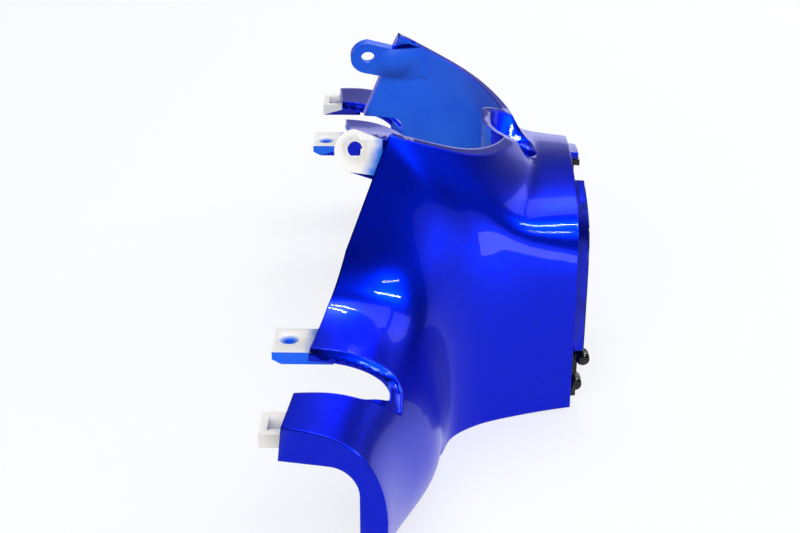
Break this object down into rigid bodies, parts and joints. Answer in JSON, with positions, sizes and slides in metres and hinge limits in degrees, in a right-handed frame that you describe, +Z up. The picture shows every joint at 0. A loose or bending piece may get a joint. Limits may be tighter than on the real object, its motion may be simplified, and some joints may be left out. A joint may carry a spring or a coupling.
{
  "type": "scooter front fairing",
  "caption": "Thin-walled front half of a scooter's handlebar cover: lamp box ahead, open neck above, two sleeves round the bar, screw tabs at the rear.",
  "frame": {"origin": "centre of the part's outline seen from above, on the level its lowest edge stands on", "axes": "+X to the rider's left along the handlebar, -Y ahead (the way the lamp looks), +Z up"},
  "size_m": [0.3206, 0.1068, 0.1113],
  "materials": {
    "painted_shell": "metallic blue paint under clear coat on moulded ABS, thin matt overspray inside, bare white tabs",
    "black_trim": "polished black ABS"
  },
  "bodies": {
    "root": {"fairing_shell": "painted_shell", "lamp_bezel": "black_trim"}
  },
  "joints": []
}
